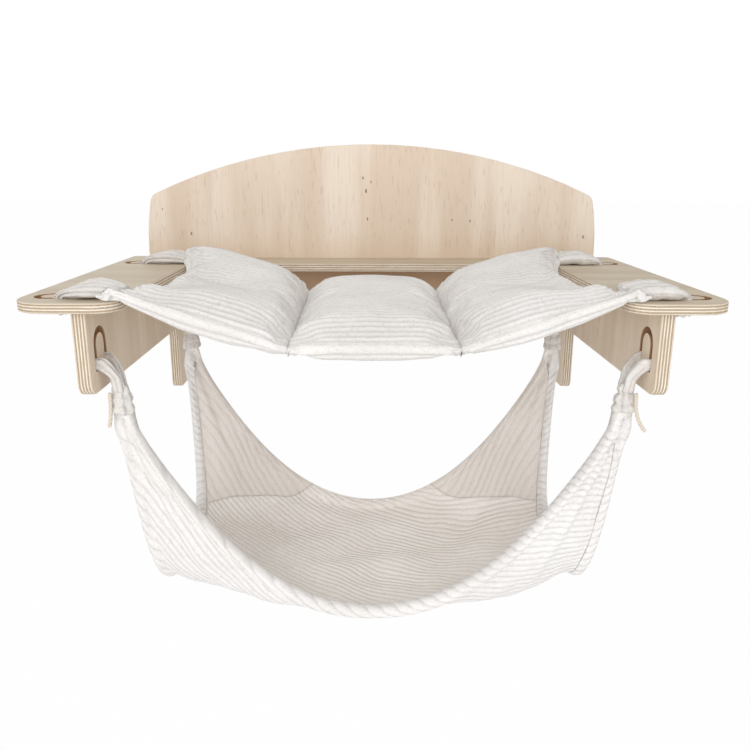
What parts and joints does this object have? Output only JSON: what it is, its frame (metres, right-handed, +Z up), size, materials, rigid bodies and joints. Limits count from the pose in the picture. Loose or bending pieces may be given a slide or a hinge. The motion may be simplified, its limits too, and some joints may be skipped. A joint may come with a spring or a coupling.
{
  "type": "cat wall shelf",
  "caption": "Wall-mounted birch plywood cat shelf: arched back plate, a slung quilted pad between two slotted arms, and a fabric hammock hung below on loops.",
  "frame": {"origin": "point of the back plate's wall face at the height of the shelf's top, on the middle plane", "axes": "+Y into the wall, +Z up, +X to the right as seen from the room"},
  "size_m": [0.61, 0.36, 0.4654],
  "materials": {
    "birch_plate": "clear matt lacquer, upright grain",
    "birch_ply": "clear matt lacquer, bare layered edges",
    "beech": "bare turned beech",
    "screw_steel": "zinc plated",
    "pad_fabric": "off-white ribbed cotton",
    "hammock_fabric": "off-white ribbed cotton",
    "loop_fabric": "off-white ribbed cotton",
    "tail_cord": "twisted cream cotton"
  },
  "bodies": {
    "frame": {"back_plate": "birch_plate", "shelf_plate": "birch_ply", "bracket_left": "birch_ply", "bracket_right": "birch_ply", "seat_pad": "pad_fabric", "dowel_front_left": "beech", "dowel_rear_left": "beech", "dowel_front_right": "beech", "dowel_rear_right": "beech", "bracket_screw_upper_left": "screw_steel", "bracket_screw_lower_left": "screw_steel", "bracket_screw_upper_right": "screw_steel", "bracket_screw_lower_right": "screw_steel", "ledge_screw_inner_left": "screw_steel", "ledge_screw_outer_left": "screw_steel", "ledge_screw_inner_right": "screw_steel", "ledge_screw_outer_right": "screw_steel", "pad_loop_front_left": "loop_fabric", "pad_loop_rear_left": "loop_fabric", "pad_loop_front_right": "loop_fabric", "pad_loop_rear_right": "loop_fabric", "hammock_loop_front_left": "loop_fabric", "hammock_loop_rear_left": "loop_fabric", "hammock_loop_front_right": "loop_fabric", "hammock_loop_rear_right": "loop_fabric", "tail_cord_left": "tail_cord", "tail_cord_right": "tail_cord"},
    "hammock": {"hammock": "hammock_fabric"}
  },
  "joints": [
    {"name": "hammock_sway", "type": "slide", "parent": "frame", "child": "hammock", "axis": [0, 1, 0], "range_m": [-0.012, 0.012], "stiffness_N_per_m": 30}
  ]
}
